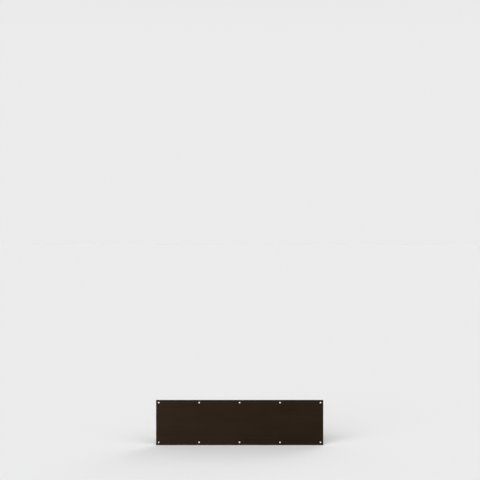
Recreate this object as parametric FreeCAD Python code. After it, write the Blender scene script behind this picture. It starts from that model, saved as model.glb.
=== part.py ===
import FreeCAD, Part
import math
import os

# A screw-on kick plate for the foot of a door: a thin plate with a bevelled front
# edge, held by two rows of oval-head sheet metal screws in countersunk holes.
#
# Millimetres, +Z up.  The origin is the centre of the plate's back face, the face
# that lies on the door.  +X runs along the plate, the front looks along -Y, and the
# screws run into the door along +Y.

INCH = 25.4

# Plate
plate_length = 34 * INCH
plate_height = 9.2 * INCH
plate_thickness = 0.050 * INCH
edge_bevel = 0.8
corner_radius = 1.0

# Screw pattern: two rows, at the same inset from every edge
screws_per_row = 5
screw_inset = 9 / 16 * INCH

# Screws: number 6 by 5/8 inch, with an 82 degree head and a number 2 cross recess
screw_length = 5 / 8 * INCH
thread_radius = 1.75
point_length = 3.2
head_radius = 3.45
dome_height = 1.05
countersink_angle = 82
recess_radius = 2.15
recess_depth = 2.3
recess_floor_radius = 0.75
recess_wing_width = 1.05
# each screw's cross stops this much further round than the one before it
cross_turn = 37

# Holes: the cone is cut right through, so the head beds in it
hole_mouth_radius = 3.55

# How far a cutting tool reaches past the surface that it opens
overcut = 1.0

# Worked out from the sizes above
front = -plate_thickness
cone_slope = math.tan(math.radians(countersink_angle / 2))
row_height = plate_height / 2 - screw_inset
row_half_length = plate_length / 2 - screw_inset
column_pitch = 2 * row_half_length / (screws_per_row - 1)


def point(radius, depth):
    """A point of a turned profile: radius along X, depth along Y, into the door."""
    return FreeCAD.Vector(radius, depth, 0)


def cone_radius(depth):
    """Radius of the countersink at this depth, with the front face at -thickness."""
    return hole_mouth_radius - (depth - front) * cone_slope


def make_blank():
    """The sheared plate: corners eased, then the front edge bevelled all round."""
    corner = FreeCAD.Vector(-plate_length / 2, front, -plate_height / 2)
    blank = Part.makeBox(plate_length, plate_thickness, plate_height, corner)
    uprights = [e for e in blank.Edges if abs(e.tangentAt(e.FirstParameter).y) > 0.5]
    blank = blank.makeFillet(corner_radius, uprights)
    rim = [e for e in blank.Edges if abs(e.BoundBox.YMax - front) < 1e-6]
    return blank.makeChamfer(edge_bevel, rim)


def make_countersink(x, z):
    """The cone that cuts one hole, from in front of the plate to behind it."""
    start = front - overcut
    return Part.makeCone(
        cone_radius(start),
        cone_radius(overcut),
        overcut - start,
        FreeCAD.Vector(x, start, z),
        FreeCAD.Vector(0, 1, 0),
    )


def make_recess():
    """The tool that cuts the cross: two slots, held inside a cone that narrows inwards."""
    top = front - dome_height
    spread = (recess_radius - recess_floor_radius) / recess_depth * overcut
    length = recess_depth + overcut
    cone = Part.makeCone(
        recess_radius + spread,
        recess_floor_radius,
        length,
        FreeCAD.Vector(0, top - overcut, 0),
        FreeCAD.Vector(0, 1, 0),
    )
    span = 4 * recess_radius
    half = recess_wing_width / 2
    flat = FreeCAD.Vector(-span / 2, top - overcut, -half)
    upright = FreeCAD.Vector(-half, top - overcut, -span / 2)
    cross = Part.makeBox(span, length, recess_wing_width, flat)
    cross = cross.fuse(Part.makeBox(recess_wing_width, length, span, upright))
    return cross.common(cone)


def make_screw():
    """One screw on the Y axis, seated: its head's widest edge is level with the front."""
    crown = front - dome_height
    # the dome is part of a sphere, so a point half way out lies on the same circle
    sphere_radius = (head_radius**2 + dome_height**2) / (2 * dome_height)
    half_out = head_radius / 2
    rise = math.sqrt(sphere_radius**2 - half_out**2)
    half_way = point(half_out, crown + sphere_radius - rise)
    land = (hole_mouth_radius - head_radius) / cone_slope
    cone_end = (hole_mouth_radius - thread_radius) / cone_slope
    tip = front + screw_length
    corners = [
        point(head_radius, front),
        point(head_radius, front + land),
        point(thread_radius, front + cone_end),
        point(thread_radius, tip - point_length),
        point(0, tip),
        point(0, crown),
    ]
    dome = Part.Arc(point(0, crown), half_way, corners[0]).toShape()
    sides = [Part.makeLine(a, b) for a, b in zip(corners, corners[1:])]
    profile = Part.Face(Part.Wire([dome] + sides))
    axis = FreeCAD.Vector(0, 1, 0)
    turned = profile.revolve(FreeCAD.Vector(0, 0, 0), axis, 360)
    return turned.cut(make_recess())


def screw_places():
    """Each screw's name and its X and Z, left to right as seen from the front."""
    places = []
    for row, z in (("top", row_height), ("bottom", -row_height)):
        for i in range(screws_per_row):
            places.append((f"screw_{row}_{i + 1}", i * column_pitch - row_half_length, z))
    return places


plate = make_blank()
screw = make_screw()
screw_axis = FreeCAD.Vector(0, 1, 0)
nodes = {}
for i, (name, x, z) in enumerate(screw_places()):
    plate = plate.cut(make_countersink(x, z))
    driven = screw.rotated(FreeCAD.Vector(0, 0, 0), screw_axis, i * cross_turn)
    nodes[name] = driven.translated(FreeCAD.Vector(x, 0, z))
nodes["kick_plate"] = plate

os.makedirs("parts", exist_ok=True)
for name, shape in nodes.items():
    solids = shape.Solids
    if len(solids) != 1 or not shape.isValid():
        raise ValueError(f"{name} is not one valid solid")
    solids[0].exportStep(f"parts/{name}.step")
    box = solids[0].BoundBox
    sizes = [round(v, 2) for v in (box.XLength, box.YLength, box.ZLength)]
    print(name, sizes, round(solids[0].Volume, 1))
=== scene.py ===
import math

import bmesh
import bpy
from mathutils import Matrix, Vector


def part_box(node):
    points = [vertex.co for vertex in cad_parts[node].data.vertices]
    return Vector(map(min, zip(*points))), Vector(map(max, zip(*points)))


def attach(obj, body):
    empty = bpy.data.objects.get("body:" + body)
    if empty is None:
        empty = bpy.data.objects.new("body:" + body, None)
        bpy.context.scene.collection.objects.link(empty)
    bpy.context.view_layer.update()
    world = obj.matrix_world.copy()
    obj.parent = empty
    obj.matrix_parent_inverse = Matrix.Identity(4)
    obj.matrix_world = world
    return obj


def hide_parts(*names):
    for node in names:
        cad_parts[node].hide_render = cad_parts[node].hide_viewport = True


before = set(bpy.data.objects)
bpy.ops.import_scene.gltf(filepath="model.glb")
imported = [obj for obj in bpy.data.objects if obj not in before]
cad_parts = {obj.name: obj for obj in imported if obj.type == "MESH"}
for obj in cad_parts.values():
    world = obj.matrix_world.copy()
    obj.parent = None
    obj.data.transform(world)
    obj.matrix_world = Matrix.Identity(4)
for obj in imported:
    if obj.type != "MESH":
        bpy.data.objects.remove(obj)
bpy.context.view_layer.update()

# A screw-on kick plate: a thin plate of dark oil-rubbed bronze, brushed along its
# length, held by two rows of bright oval-head screws.
#
# Metres.  +X runs along the plate, +Z is up, the front looks along -Y and the screws
# run into the door along +Y.  In a turned shape, depth is Y.

MM = 0.001

# ---------------------------------------------------------------- sizes of the plate
PLATE_LOW, PLATE_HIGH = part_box("kick_plate")
FRONT = PLATE_LOW.y
BACK = PLATE_HIGH.y
CORNER_RADIUS = 1.0 * MM
EDGE_BEVEL = 0.8 * MM
ARRIS_RADIUS = 0.15 * MM
BACK_ARRIS_RADIUS = 0.1 * MM
WEAR_FADE = 0.1 * MM
CORNER_STEPS = 8
ARRIS_STEPS = 4
GRID_STEP = 14 * MM

# ---------------------------------------------------------------- sizes of the holes
COUNTERSINK_ANGLE = math.radians(82)
CONE_SLOPE = math.tan(COUNTERSINK_ANGLE / 2)
MOUTH_RADIUS = 3.55 * MM
THROAT_RADIUS = MOUTH_RADIUS - (BACK - FRONT) * CONE_SLOPE
MOUTH_ROUNDING = 0.08 * MM
THROAT_ROUNDING = 0.04 * MM
RIM_WIDTH = 0.35 * MM
HOLE_STEPS = 64
# the grid lines close up in a square round each hole, and rings fill the square
PATCH_HALF = 8 * MM
PATCH_RINGS = (0.55, 0.28, 0.1)
LOW_CORNER_ANGLE = math.radians(-135)

# --------------------------------------------------------------- sizes of the screws
ROWS = ("top", "bottom")
SCREWS_PER_ROW = sum(node.startswith("screw_top_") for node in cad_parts)
CROSS_TURN = math.radians(37)
SCREW_LOW, SCREW_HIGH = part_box("screw_top_1")
HEAD_RADIUS = (SCREW_HIGH.x - SCREW_LOW.x) / 2
DOME_HEIGHT = 1.05 * MM
# the dome's last ring, just inside its rounded edge
DOME_RADIUS = 0.985 * HEAD_RADIUS
DOME_RINGS = (0.15, 0.4, 0.65, 0.85)
SEAT_GAP = 0.02 * MM
HEAD_WEAR_FADE = 0.02 * MM
HEAD_ARRIS_STEPS = 3
# roundings at the dome's edge, the cone's two ends and the top of the core
HEAD_ROUNDINGS = (0.05 * MM, 0.04 * MM, 0.15 * MM, 0.1 * MM)

# the cross: each pair is at the dome and at the floor
WING_REACH = (2.15 * MM, 0.75 * MM)
WING_HALF_WIDTH = (0.52 * MM, 0.4 * MM)
WING_FILLET = (0.24 * MM, 0.12 * MM)
WING_END_STEPS = 4
WING_SIDE_STEPS = 2
WING_FILLET_STEPS = 4
RECESS_DEPTH = 2.3 * MM
RECESS_LEVELS = (1.0, 0.75, 0.5, 0.25, 0.06)
# how dark the cross is painted at the dome and at the floor, where anything over 1 counts as
# 1: painted shade, deepest at the floor, with some soiling
RECESS_SHADE_AND_SOILING = (0.3, 2.3)
# the dimple in the middle of the floor: how wide, and how deep at its edge and centre
DIMPLE_SHARE = 0.45
DIMPLE_DEPTHS = (0.05 * MM, 0.18 * MM)
# the lip, from the wing's side to the dome: how far out, how deep, how worn
LIP = ((0.015 * MM, 0.03 * MM, 1.0), (0.045 * MM, 0.005 * MM, 1.0), (0.1 * MM, 0.0, 0.3))

# the shank and its thread
TIP = SCREW_HIGH.y
CREST_RADIUS = 1.75 * MM
CORE_SHARE = 0.74
CORE_RADIUS = CREST_RADIUS * CORE_SHARE
NECK_FLARE = 0.12 * MM
NECK_RADIUS = CORE_RADIUS + NECK_FLARE
NECK_LENGTH = 0.2 * MM
THREAD_START = 1.35 * MM
THREAD_LEAD = 0.05 * MM
THREAD_PITCH = 1.27 * MM
# in turns: how long the thread takes to rise, and how far from the tip it stops
THREAD_FADE = 0.6
THREAD_STOP = 1.15
POINT_LENGTH = 3.2 * MM
POINT_BLUNTNESS = 0.06
# one turn's profile: shares of the pitch, and of the thread's height
THREAD_SECTION = ((0.0, 0.0), (0.26, 0.0), (0.47, 1.0), (0.53, 1.0), (0.74, 0.0))
# how dark the thread's roots are painted: painted shade in the grooves, with some soiling
ROOT_SHADE_AND_SOILING = 0.6
# the neck and the core, out to this radius, get as much painted shade and soiling as the
# thread's roots
SHADE_AND_SOILING_RADIUS = 1.01 * NECK_RADIUS
SHARP_ANGLE = math.radians(38)

# -------------------------------------------------------------------- colours, linear
DEEP_BROWN = (0.0196, 0.0122, 0.0073, 1)
WARM_BROWN = (0.0332, 0.0216, 0.0134, 1)
BACK_BROWN = (0.068, 0.047, 0.031, 1)
BARE_BRONZE = (0.30, 0.17, 0.085, 1)
DULL_STEEL = (0.80, 0.77, 0.725, 1)
BRIGHT_STEEL = (0.92, 0.885, 0.845, 1)
# the dark colour painted into the cross and the thread's roots: painted shade, with some
# soiling
SHADE_AND_SOILING_COLOUR = (0.16, 0.14, 0.12, 1)
FLOOR_PAINT = (0.806, 0.806, 0.806, 1)

# ------------------------------- grain: features to the metre along X, Y and Z
CLOUDS = (5, 5, 9)
BANDS = (1.5, 12, 110)
HAIRLINES = (5, 60, 1700)
BLOTCHES = (38, 38, 38)
SMEARS = (260, 260, 260)
NICKS = (900, 2600, 1700)
# nearly all of a noise lies between these
NOISE_RANGE = (0.35, 0.65)

# ------------------------------------------------------------------------- the stage
FLOOR_SIZE = 400.0
HORIZON_LIGHT = 0.835
CEILING_LIGHT = 0.3
FADE_START = 0.2
EYE_HEIGHT = 0.9427
EYE_SIDE = 0.0017
EYE_DISTANCE = 4.475
LENS_MM = 65.0


def centre_of(node):
    """The middle of a screw's box: X and Z give its axis."""
    low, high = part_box(node)
    return (low + high) / 2


def ratio(start, stop, share):
    """The value a share of the way from start to stop."""
    return start + (stop - start) * share


# ------------------------------------------------------------------------ mesh tools
class Shell:
    """A closed surface built loop by loop.  Each point carries the named marks."""

    def __init__(self, *marks):
        self.bm = bmesh.new()
        self.marks = {name: self.bm.verts.layers.float.new(name) for name in marks}

    def point(self, place, **marks):
        vert = self.bm.verts.new(place)
        for name, value in marks.items():
            vert[self.marks[name]] = value
        return vert

    def loop(self, places, **marks):
        return [self.point(place, **marks) for place in places]

    def face(self, verts, smooth=False):
        """A face through these points.  A point given twice counts once."""
        corners = list(dict.fromkeys(verts))
        if len(corners) > 2:
            self.bm.faces.new(corners).smooth = smooth

    def bridge(self, first, second, smooth=False):
        """Faces between two closed loops of the same length."""
        for i in range(len(first)):
            self.face((first[i - 1], first[i], second[i], second[i - 1]), smooth)

    def fan(self, loop, apex):
        for i in range(len(loop)):
            self.face((loop[i - 1], loop[i], apex))

    def to_object(self, name):
        bmesh.ops.recalc_face_normals(self.bm, faces=self.bm.faces)
        mesh = bpy.data.meshes.new(name)
        self.bm.to_mesh(mesh)
        self.bm.free()
        piece = bpy.data.objects.new(name, mesh)
        bpy.context.scene.collection.objects.link(piece)
        return piece


def rounded(corners, radii, steps, fade):
    """A polyline with each inner corner rounded, as (across, depth, wear) points.

    Wear is 1 on the roundings, where a hand or a shoe rubs, and is gone this far along
    the straights beside them.
    """
    points = [(*corners[0], 0.0)]
    for before, corner, after, radius in zip(corners, corners[1:], corners[2:], radii):
        here = Vector(corner)
        back = (Vector(before) - here).normalized()
        on = (Vector(after) - here).normalized()
        half_angle = back.angle(on) / 2
        reach = radius / math.tan(half_angle)
        middle = here + (back + on).normalized() * radius / math.sin(half_angle)
        start = here + back * reach - middle
        stop = here + on * reach - middle
        points.append((*(here + back * (reach + fade)), 0.0))
        for k in range(steps + 1):
            spot = middle + start.slerp(stop, k / steps).normalized() * radius
            points.append((*spot, 1.0))
        points.append((*(here + on * (reach + fade)), 0.0))
    return points + [(*corners[-1], 0.0)]


# ------------------------------------------------------------------------- the plate
def spaced(start, stop, step):
    """Evenly spaced places about a step apart, from start up to but not at stop."""
    count = max(1, round((stop - start) / step))
    return [ratio(start, stop, i / count) for i in range(count)]


def grid_lines(end, centres):
    """Lines across the plate, finer over each hole, and where each hole's lines begin."""
    side = HOLE_STEPS // 4
    lines, firsts, at = [], [], -end
    for centre in centres:
        lines += spaced(at, centre - PATCH_HALF, GRID_STEP)
        firsts.append(len(lines))
        at = centre + PATCH_HALF
        lines += spaced(centre - PATCH_HALF, at, 2 * PATCH_HALF / side)
    return lines + spaced(at, end, GRID_STEP) + [end], firsts


def square_loop(first_x, first_z, last_x, last_z):
    """Grid places round a rectangle of lines, starting at its low corner."""
    places = [(i, first_z) for i in range(first_x, last_x)]
    places += [(last_x, j) for j in range(first_z, last_z)]
    places += [(i, last_z) for i in range(last_x, first_x, -1)]
    return places + [(first_x, j) for j in range(last_z, first_z, -1)]


def ring(centre_x, centre_z, radius, depth):
    """Places round a hole, in step with the square of grid lines that frames it."""
    places = []
    for k in range(HOLE_STEPS):
        angle = LOW_CORNER_ANGLE + 2 * math.pi * k / HOLE_STEPS
        x = centre_x + radius * math.cos(angle)
        z = centre_z + radius * math.sin(angle)
        places.append((x, depth, z))
    return places


class Sheet:
    """A flat face of the plate: a grid of quads with a ring of quads round each hole."""

    def __init__(self, shell, depth, rim_radius, layout, **marks):
        self.shell, self.depth, self.marks = shell, depth, marks
        self.layout = layout
        self.side = HOLE_STEPS // 4
        self.add_grid()
        self.mouths = [self.add_mouth(hole, rim_radius) for hole in layout.holes]

    def add_grid(self):
        """The grid's points and faces, with a square left open for each hole."""
        xs, zs, side = self.layout.xs, self.layout.zs, self.side
        inside, open_cells = set(), set()
        for _, _, i, j in self.layout.holes:
            inside |= {(i + a, j + b) for a in range(1, side) for b in range(1, side)}
            open_cells |= {(i + a, j + b) for a in range(side) for b in range(side)}
        self.grid = {}
        for i, x in enumerate(xs):
            for j, z in enumerate(zs):
                if (i, j) not in inside:
                    self.grid[i, j] = self.shell.point((x, self.depth, z), **self.marks)
        for i in range(len(xs) - 1):
            for j in range(len(zs) - 1):
                if (i, j) not in open_cells:
                    corners = ((i, j), (i + 1, j), (i + 1, j + 1), (i, j + 1))
                    self.shell.face([self.grid[place] for place in corners])

    def add_mouth(self, hole, rim_radius):
        """The rings that fill one hole's square, down to the rim round its cone."""
        x, z, i, j = hole
        around = square_loop(i, j, i + self.side, j + self.side)
        square = [self.grid[place] for place in around]
        rim = ring(x, z, rim_radius, self.depth)
        last = square
        for share in PATCH_RINGS:
            spots = [Vector(a).lerp(b.co, share) for a, b in zip(rim, square)]
            loop = self.shell.loop(spots, **self.marks)
            self.shell.bridge(last, loop)
            last = loop
        mouth = self.shell.loop(rim, **self.marks)
        self.shell.bridge(last, mouth)
        return mouth

    def border(self):
        """The outer points in order, each corner given once for each corner step."""
        end_x, end_z = len(self.layout.xs) - 1, len(self.layout.zs) - 1
        points = []
        for i, j in square_loop(0, 0, end_x, end_z):
            is_corner = i in (0, end_x) and j in (0, end_z)
            points += [self.grid[i, j]] * (CORNER_STEPS + 1 if is_corner else 1)
        return points


class Layout:
    """Where the plate's grid lines and holes are, the same on its front and back."""

    def __init__(self):
        columns = [centre_of(f"screw_top_{i + 1}").x for i in range(SCREWS_PER_ROW)]
        rows = [centre_of(f"screw_{row}_1").z for row in reversed(ROWS)]
        self.core_x = PLATE_HIGH.x - CORNER_RADIUS
        self.core_z = PLATE_HIGH.z - CORNER_RADIUS
        self.xs, column_firsts = grid_lines(self.core_x, columns)
        self.zs, row_firsts = grid_lines(self.core_z, rows)
        self.holes = []
        for x, i in zip(columns, column_firsts):
            self.holes += [(x, z, i, j) for z, j in zip(rows, row_firsts)]

    def outline(self, offset, depth):
        """Places round the plate, this far outside its core, with rounded corners."""
        core_x, core_z = self.core_x, self.core_z
        xs, zs = self.xs[1:-1], self.zs[1:-1]
        # each side: its first corner, where that corner's arc starts, and the places
        # along the side, each with the way that the side faces
        sides = (
            (-core_x, -core_z, 180, [(x, -core_z, 0, -1) for x in xs]),
            (core_x, -core_z, 270, [(core_x, z, 1, 0) for z in zs]),
            (core_x, core_z, 0, [(x, core_z, 0, 1) for x in reversed(xs)]),
            (-core_x, core_z, 90, [(-core_x, z, -1, 0) for z in reversed(zs)]),
        )
        places = []
        for corner_x, corner_z, start, along in sides:
            for k in range(CORNER_STEPS + 1):
                angle = math.radians(start + 90 * k / CORNER_STEPS)
                x = corner_x + offset * math.cos(angle)
                places.append((x, depth, corner_z + offset * math.sin(angle)))
            for x, z, out_x, out_z in along:
                places.append((x + offset * out_x, depth, z + offset * out_z))
        return places


def on_back(depth):
    """The back mark at this depth: 1 from the start of the back arris, else 0."""
    return float(BACK - depth < BACK_ARRIS_RADIUS)


def make_plate():
    """The plate: two flat faces joined by the bevelled edge and the ten cones."""
    shell = Shell("wear", "back")
    layout = Layout()
    mouth_rim = MOUTH_RADIUS + RIM_WIDTH
    throat_rim = THROAT_RADIUS + RIM_WIDTH
    front = Sheet(shell, FRONT, mouth_rim, layout, wear=0.0, back=0.0)
    rear = Sheet(shell, BACK, throat_rim, layout, wear=0.0, back=1.0)

    edge_corners = [(0, FRONT), (CORNER_RADIUS - EDGE_BEVEL, FRONT)]
    edge_corners += [(CORNER_RADIUS, FRONT + EDGE_BEVEL), (CORNER_RADIUS, BACK), (0, BACK)]
    edge_radii = (ARRIS_RADIUS, ARRIS_RADIUS, BACK_ARRIS_RADIUS)
    edge = rounded(edge_corners, edge_radii, ARRIS_STEPS, WEAR_FADE)
    last = front.border()
    for offset, depth, wear in edge[1:-1]:
        loop = shell.loop(layout.outline(offset, depth), wear=wear, back=on_back(depth))
        shell.bridge(last, loop, smooth=True)
        last = loop
    shell.bridge(last, rear.border(), smooth=True)

    cone_corners = [(mouth_rim, FRONT), (MOUTH_RADIUS, FRONT)]
    cone_corners += [(THROAT_RADIUS, BACK), (throat_rim, BACK)]
    cone_radii = (MOUTH_ROUNDING, THROAT_ROUNDING)
    cone = rounded(cone_corners, cone_radii, ARRIS_STEPS, WEAR_FADE)
    for last, throat, (x, z, _, _) in zip(front.mouths, rear.mouths, layout.holes):
        for radius, depth, wear in cone[1:-1]:
            loop = shell.loop(ring(x, z, radius, depth), wear=wear, back=on_back(depth))
            shell.bridge(last, loop, smooth=True)
            last = loop
        shell.bridge(last, throat, smooth=True)
    return shell.to_object("bronze_plate")


# ------------------------------------------------------------------------ the screws
def cross_outline(share, grow=0.0):
    """The cross's outline a share of the way down, as (across, up) points.

    Each of the four quarters runs over a wing's rounded end, back along its side and
    round the fillet in the inner corner, then out along the next wing's side.
    """
    reach = ratio(*WING_REACH, share) + grow
    half = ratio(*WING_HALF_WIDTH, share) + grow
    fillet = ratio(*WING_FILLET, share)
    spread = math.asin(half / reach)
    end = reach * math.cos(spread)
    inner = half + fillet
    quarter = []
    for k in range(WING_END_STEPS + 1):
        angle = ratio(-spread, spread, k / WING_END_STEPS)
        quarter.append((reach * math.cos(angle), reach * math.sin(angle)))
    side = [k / (WING_SIDE_STEPS + 1) for k in range(1, WING_SIDE_STEPS + 1)]
    quarter += [(ratio(end, inner, part), half) for part in side]
    for k in range(WING_FILLET_STEPS + 1):
        angle = math.radians(ratio(270, 180, k / WING_FILLET_STEPS))
        quarter.append((inner + fillet * math.cos(angle), inner + fillet * math.sin(angle)))
    quarter += [(half, ratio(inner, end, part)) for part in side]
    points = []
    for c, s in ((1, 0), (0, 1), (-1, 0), (0, -1)):
        points += [(c * x - s * y, s * x + c * y) for x, y in quarter]
    return points


HEAD_STEPS = len(cross_outline(0))
# the angle of the outline's first point, where each turned ring starts too
FIRST_ANGLE = -math.asin((WING_HALF_WIDTH[0] + LIP[-1][0]) / (WING_REACH[0] + LIP[-1][0]))


def turned_ring(radius, depth):
    """A ring of a turned shape, in step with the cross's outline."""
    places = []
    for k in range(HEAD_STEPS):
        angle = FIRST_ANGLE + 2 * math.pi * k / HEAD_STEPS
        places.append((radius * math.cos(angle), depth, radius * math.sin(angle)))
    return places


def on_dome(x, z, sink=0.0):
    """The place on the head's spherical crown at X and Z, or this far below it."""
    sphere = (HEAD_RADIUS**2 + DOME_HEIGHT**2) / (2 * DOME_HEIGHT)
    depth = FRONT - DOME_HEIGHT + sphere - math.sqrt(sphere**2 - x**2 - z**2)
    return x, depth + sink, z


def make_recess(shell):
    """The cross recess, from its floor up to its softened lip on the dome."""
    floor = FRONT - DOME_HEIGHT + RECESS_DEPTH
    edge_sink, centre_sink = DIMPLE_DEPTHS
    dimple = []
    for x, z in cross_outline(1):
        dimple.append((x * DIMPLE_SHARE, floor + edge_sink, z * DIMPLE_SHARE))
    # the cross is painted darker towards its floor: painted shade, with some soiling
    last = shell.loop(dimple, grime=1.0)
    shell.fan(last, shell.point((0, floor + centre_sink, 0), grime=1.0))
    for share in RECESS_LEVELS:
        spots = []
        for x, z in cross_outline(share):
            spots.append((x, ratio(on_dome(x, z)[1], floor, share), z))
        loop = shell.loop(spots, grime=min(1.0, ratio(*RECESS_SHADE_AND_SOILING, share)))
        shell.bridge(last, loop, smooth=True)
        last = loop
    for grow, sink, wear in LIP:
        spots = [on_dome(x, z, sink) for x, z in cross_outline(0, grow)]
        loop = shell.loop(spots, wear=wear)
        shell.bridge(last, loop, smooth=True)
        last = loop
    return last


def make_head(shell, lip):
    """The dome from the recess's lip to the edge, then the cone down to the shank."""
    last = lip
    for share in DOME_RINGS:
        spots = []
        for vert, place in zip(lip, turned_ring(DOME_RADIUS, 0)):
            x = ratio(vert.co.x, place[0], share)
            z = ratio(vert.co.z, place[2], share)
            spots.append(on_dome(x, z))
        loop = shell.loop(spots)
        shell.bridge(last, loop, smooth=True)
        last = loop
    # the head's cone follows the hole's, a hair in front of it
    edge_depth = FRONT + (MOUTH_RADIUS - HEAD_RADIUS) / CONE_SLOPE - SEAT_GAP
    neck_depth = FRONT + (MOUTH_RADIUS - NECK_RADIUS) / CONE_SLOPE - SEAT_GAP
    corners = [(DOME_RADIUS, on_dome(DOME_RADIUS, 0)[1]), (HEAD_RADIUS, FRONT)]
    corners += [(HEAD_RADIUS, edge_depth), (NECK_RADIUS, neck_depth)]
    corners += [(CORE_RADIUS, neck_depth + NECK_LENGTH), (CORE_RADIUS, THREAD_START)]
    profile = rounded(corners, HEAD_ROUNDINGS, HEAD_ARRIS_STEPS, HEAD_WEAR_FADE)
    for radius, depth, wear in profile:
        # the neck and the core are painted dark like the thread's roots: painted shade under
        # the head, with some soiling
        grime = ROOT_SHADE_AND_SOILING if radius < SHADE_AND_SOILING_RADIUS else 0.0
        loop = shell.loop(turned_ring(radius, depth), grime=grime, wear=wear)
        shell.bridge(last, loop, smooth=True)
        last = loop
    return last


def crest_radius(depth):
    """Outside radius of the thread: even along the shank, then down to the point."""
    left = max(TIP - depth, 0) / POINT_LENGTH
    return CREST_RADIUS * min(1.0, ratio(POINT_BLUNTNESS, 1.0, left))


def thread_point(shell, step, along, height):
    """A point this many steps round the thread and this share of a pitch further on."""
    # a right-hand thread turns from +Z towards +X as it goes deeper
    angle = FIRST_ANGLE - 2 * math.pi * step / HEAD_STEPS
    depth = THREAD_START + THREAD_LEAD + THREAD_PITCH * (step / HEAD_STEPS + along)
    radius = crest_radius(depth) * ratio(CORE_SHARE, 1.0, height)
    place = (radius * math.cos(angle), depth, radius * math.sin(angle))
    # the thread is painted darker towards its roots: painted shade in the grooves, with some
    # soiling
    return shell.point(place, grime=ROOT_SHADE_AND_SOILING * (1 - height), wear=height)


def make_thread(shell, collar):
    """One strip wound down the shank: its lower edge is its upper edge a turn later."""
    turns = (TIP - THREAD_START) / THREAD_PITCH - THREAD_STOP
    count = round(turns * HEAD_STEPS)
    strip = []
    for i in range(count + 1):
        turns_from_end = min(i, count - i) / HEAD_STEPS
        rise = min(1.0, turns_from_end / THREAD_FADE)
        column = [thread_point(shell, i, at, height * rise) for at, height in THREAD_SECTION]
        strip.append(column)
    first_free = count - HEAD_STEPS + 1
    below = [strip[i + HEAD_STEPS][0] for i in range(first_free)]
    below += [thread_point(shell, i, 1.0, 0.0) for i in range(first_free, count + 1)]
    for i in range(count):
        here = strip[i] + [below[i]]
        there = strip[i + 1] + [below[i + 1]]
        for j in range(len(THREAD_SECTION)):
            shell.face((here[j], there[j], there[j + 1], here[j + 1]), smooth=True)

    # the collar meets the first turn, and its last face takes in the strip's open end
    around = [collar[0]] + collar[:0:-1]
    for i in range(HEAD_STEPS - 1):
        shell.face((around[i], around[i + 1], strip[i + 1][0], strip[i][0]), smooth=True)
    seam = [around[-1], around[0]] + strip[0] + [strip[HEAD_STEPS][0]]
    shell.face(seam + [strip[HEAD_STEPS - 1][0]], smooth=True)

    # the last turn and the strip's other end close on the tip
    tip = shell.point((0, TIP, 0), wear=1.0)
    ending = below[first_free - 1:] + strip[count][::-1]
    for a, b in zip(ending, ending[1:]):
        shell.face((a, b, tip), smooth=True)


def make_screw():
    """One number 6 oval-head screw, on the Y axis, seated in its countersink."""
    # the first mark paints the cross and the thread's roots dark: painted shade, with some
    # soiling
    shell = Shell("grime", "wear")
    lip = make_recess(shell)
    collar = make_head(shell, lip)
    make_thread(shell, collar)
    screw = shell.to_object("oval_head_screw")
    screw.data.set_sharp_from_angle(angle=SHARP_ANGLE)
    return screw


# --------------------------------------------------------------------- the materials
# the places of the Mix node's colour sockets, whose names its other sockets share
MIX_FIRST = 6
MIX_SECOND = 7
MIX_RESULT = 2


class Graph:
    """A new material's nodes, each made by one short call."""

    def __init__(self, name):
        self.material = bpy.data.materials.new(name)
        self.material.use_nodes = True
        self.tree = self.material.node_tree
        self.shader = self.tree.nodes["Principled BSDF"]
        self.place = self.add("TexCoord", {}, "Object")

    def join(self, socket, value):
        """Links a socket to another socket, or sets it to a plain value."""
        if isinstance(value, bpy.types.NodeSocket):
            self.tree.links.new(value, socket)
        else:
            socket.default_value = value

    def add(self, kind, inputs, output=0, **settings):
        """A node with these settings and inputs.  Returns one of its outputs."""
        node = self.tree.nodes.new("ShaderNode" + kind)
        for key, value in settings.items():
            setattr(node, key, value)
        for key, value in inputs.items():
            self.join(node.inputs[key], value)
        return node.outputs[output]

    def set(self, **inputs):
        """Joins the shader's own inputs, with _ for a space in their names."""
        for key, value in inputs.items():
            self.join(self.shader.inputs[key.replace("_", " ")], value)

    def noise(self, grain, detail, roughness=0.5):
        """Noise with about this many features to the metre along each axis."""
        vector = self.add("Mapping", {"Vector": self.place, "Scale": grain})
        inputs = {"Vector": vector, "Scale": 1.0, "Detail": detail, "Roughness": roughness}
        return self.add("TexNoise", inputs, "Fac")

    def remap(self, value, low, high, to_low=0.0, to_high=1.0):
        names = ("Value", "From Min", "From Max", "To Min", "To Max")
        return self.add("MapRange", dict(zip(names, (value, low, high, to_low, to_high))))

    def spread(self, noise):
        """A noise stretched so that it fills 0 to 1."""
        return self.remap(noise, *NOISE_RANGE)

    def product(self, first, second):
        return self.add("Math", {0: first, 1: second}, operation="MULTIPLY")

    def total(self, *parts, start=0.0):
        """The sum of some values, each times its own weight."""
        whole = start
        for value, weight in parts:
            inputs = {0: value, 1: weight, 2: whole}
            whole = self.add("Math", inputs, operation="MULTIPLY_ADD")
        return whole

    def mix(self, share, first, second):
        inputs = {"Factor": share, MIX_FIRST: first, MIX_SECOND: second}
        return self.add("Mix", inputs, MIX_RESULT, data_type="RGBA")

    def mark(self, name):
        """A mark that the mesh carries, such as how worn each point is."""
        return self.add("Attribute", {}, "Fac", attribute_name=name)

    def bump(self, height, strength, distance, under=None):
        inputs = {"Height": height, "Strength": strength, "Distance": distance}
        if under is not None:
            inputs["Normal"] = under
        return self.add("Bump", inputs)


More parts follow.
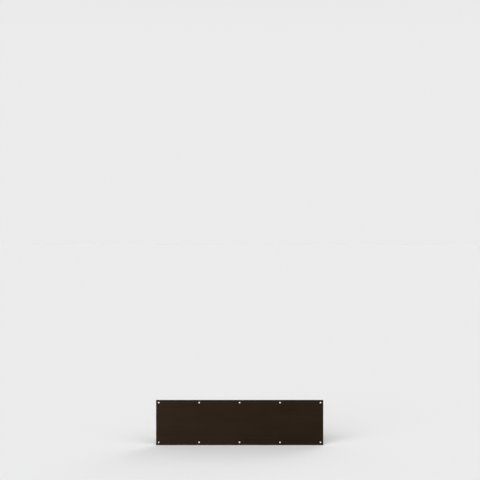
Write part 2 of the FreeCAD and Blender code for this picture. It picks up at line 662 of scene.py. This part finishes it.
def bronze_material():
    """Oil-rubbed bronze: a dark skin, brushed along X, rubbed thin on the arrises."""
    g = Graph("oil_rubbed_bronze")
    clouds = g.spread(g.noise(CLOUDS, detail=3.0))
    bands = g.spread(g.noise(BANDS, detail=2.0))
    hairlines = g.spread(g.noise(HAIRLINES, detail=4.0, roughness=0.7))
    blotches = g.noise(BLOTCHES, detail=5.0, roughness=0.62)

    # the skin: brown, a little paler in some hairlines, bands and clouds
    pale = g.total((hairlines, 0.65), (bands, 0.15), (clouds, 0.2))
    skin = g.mix(pale, DEEP_BROWN, WARM_BROWN)
    stain = g.total((g.spread(blotches), 0.25), (hairlines, 0.45), (bands, 0.3))
    skin = g.mix(g.mark("back"), skin, g.mix(stain, DEEP_BROWN, BACK_BROWN))

    # bare metal where the arrises are rubbed, broken up in blotches
    patchy = g.remap(blotches, 0.40, 0.65, 0.04, 0.55)
    rubbed = g.product(g.mark("wear"), patchy)
    colour = g.mix(rubbed, skin, BARE_BRONZE)

    # satin in front, duller behind
    parts = (hairlines, 0.10), (bands, 0.05), (clouds, 0.05), (g.mark("back"), 0.15)
    satin = g.total(*parts, start=0.30)
    lines = g.bump(bands, 0.6, 0.2 * MM)
    lines = g.bump(hairlines, 0.8, 0.05 * MM, lines)
    g.set(Base_Color=colour, Roughness=satin, Metallic=1.0, Normal=lines)
    # the brushing spreads a highlight across the grain, up and down the plate
    g.set(Anisotropic=0.8, Anisotropic_Rotation=0.25)
    return g.material


def steel_material():
    """Bright steel: faint smears, dents and nicks, with painted shade and some soiling in
    the cross and the thread.
    """
    g = Graph("bright_steel")
    smears = g.noise(SMEARS, detail=4.0, roughness=0.6)
    nicks = g.noise(NICKS, detail=4.0, roughness=0.65)
    # painted shade in the cross and in the thread's roots, broken up unevenly like soiling
    shade_and_soiling_share = g.product(g.mark("grime"), g.remap(nicks, *NOISE_RANGE, 0.35, 0.85))
    clean = g.mix(g.spread(smears), DULL_STEEL, BRIGHT_STEEL)
    clean = g.mix(g.mark("wear"), clean, BRIGHT_STEEL)
    # the cross and the thread's roots are painted dark: painted shade, with some soiling
    colour = g.mix(shade_and_soiling_share, clean, SHADE_AND_SOILING_COLOUR)
    parts = (g.spread(smears), 0.08), (g.spread(nicks), 0.08), (shade_and_soiling_share, 0.3)
    polish = g.total(*parts, start=0.12)
    dents = g.bump(smears, 0.5, 0.05 * MM)
    dents = g.bump(nicks, 0.4, 0.006 * MM, dents)
    g.set(Base_Color=colour, Roughness=polish, Metallic=1.0, Normal=dents)
    return g.material


def floor_material():
    """Plain matt paper."""
    g = Graph("pale_floor")
    g.set(Base_Color=FLOOR_PAINT, Roughness=1.0, Specular_IOR_Level=0.0)
    return g.material


# ------------------------------------------------------------------------ the object
def build_object():
    plate = make_plate()
    plate.data.materials.append(bronze_material())
    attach(plate, "root")
    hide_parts("kick_plate")

    pattern = make_screw()
    pattern.data.materials.append(steel_material())
    order = [f"screw_{row}_{i + 1}" for row in ROWS for i in range(SCREWS_PER_ROW)]
    for i, node in enumerate(order):
        screw = pattern.copy()
        screw.data = pattern.data.copy()
        screw.name = f"oval_head_{node}"
        bpy.context.scene.collection.objects.link(screw)
        place = centre_of(node)
        screw.location = (place.x, 0, place.z)
        screw.rotation_euler = (0, i * CROSS_TURN, 0)
        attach(screw, "root")
        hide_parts(node)
    bpy.data.objects.remove(pattern)


def make_floor():
    """A wide pale floor, which the plate's bottom edge stands on."""
    bpy.ops.mesh.primitive_plane_add(size=FLOOR_SIZE, location=(0, 0, PLATE_LOW.z))
    floor = bpy.context.object
    floor.name = "floor"
    floor.data.materials.append(floor_material())


def make_light(name, azimuth, elevation, spread, strength):
    """A soft, distant lamp.  Azimuth 0 is in front of the plate and 90 on its right."""
    data = bpy.data.lights.new(name, "SUN")
    data.angle = math.radians(spread)
    data.energy = strength
    lamp = bpy.data.objects.new(name, data)
    lamp.rotation_euler = (math.radians(90 - elevation), 0, math.radians(azimuth))
    bpy.context.scene.collection.objects.link(lamp)


def make_room():
    """Even light from all round: pale at the horizon, dimmer overhead."""
    world = bpy.data.worlds.new("pale_room")
    world.use_nodes = True
    tree = world.node_tree
    place = tree.nodes.new("ShaderNodeTexCoord")
    split = tree.nodes.new("ShaderNodeSeparateXYZ")
    fade = tree.nodes.new("ShaderNodeMapRange")
    fade.interpolation_type = "SMOOTHSTEP"
    fade.inputs["From Min"].default_value = FADE_START
    fade.inputs["To Min"].default_value = HORIZON_LIGHT
    fade.inputs["To Max"].default_value = CEILING_LIGHT
    tree.links.new(place.outputs["Generated"], split.inputs["Vector"])
    tree.links.new(split.outputs["Z"], fade.inputs["Value"])
    tree.links.new(fade.outputs["Result"], tree.nodes["Background"].inputs["Color"])
    bpy.context.scene.world = world
    bpy.context.scene.view_settings.view_transform = "Standard"


def make_camera():
    """Level and square to the plate and well above it, as for the whole door."""
    data = bpy.data.cameras.new("eye")
    data.lens = LENS_MM
    camera = bpy.data.objects.new("eye", data)
    camera.location = (EYE_SIDE, FRONT - EYE_DISTANCE, EYE_HEIGHT)
    camera.rotation_euler = (math.radians(90), 0, 0)
    bpy.context.scene.collection.objects.link(camera)
    bpy.context.scene.camera = camera


make_camera()
build_object()
make_floor()
make_room()
make_light("key", azimuth=-32, elevation=23, spread=55, strength=2.3)
make_light("fill", azimuth=50, elevation=38, spread=40, strength=0.7)
make_light("back", azimuth=145, elevation=24, spread=40, strength=0.8)
